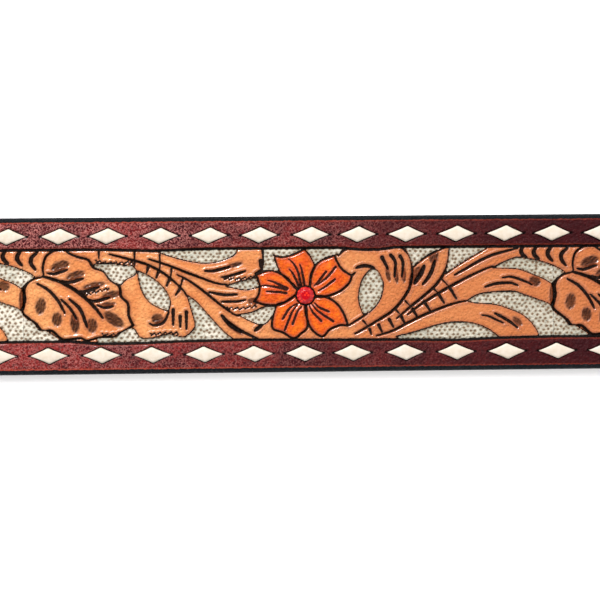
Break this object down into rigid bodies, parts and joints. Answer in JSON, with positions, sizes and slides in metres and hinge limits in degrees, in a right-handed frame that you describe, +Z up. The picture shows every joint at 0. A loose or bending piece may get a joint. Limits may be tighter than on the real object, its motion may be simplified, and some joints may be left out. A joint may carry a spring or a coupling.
{
  "type": "western tooled belt",
  "caption": "Western leather belt with floral tooling, laced borders and red cut stones, laid flat, with a plain prong buckle and keeper at one end.",
  "frame": {"origin": "centre of the bounding box's base, on the surface that the belt lies on", "axes": "+X along the strap from the buckle to the tip, +Y across it, +Z up out of the tooled side"},
  "size_m": [0.9776, 0.049, 0.0176],
  "materials": {
    "strap_leather": "satin dyed leather",
    "lace": "smooth cream lace",
    "stone": "faceted and clear red",
    "bright_metal": "polished"
  },
  "bodies": {
    "root": {"tooled_strap": "strap_leather", "keeper_loop": "strap_leather", "buckstitch_lace_upper": "lace", "buckstitch_lace_lower": "lace", "flower_stone_1": "stone", "flower_stone_2": "stone", "flower_stone_3": "stone", "flower_stone_4": "stone", "flower_stone_5": "stone", "buckle": "bright_metal", "fold_screw_1": "bright_metal", "fold_screw_2": "bright_metal"}
  },
  "joints": []
}
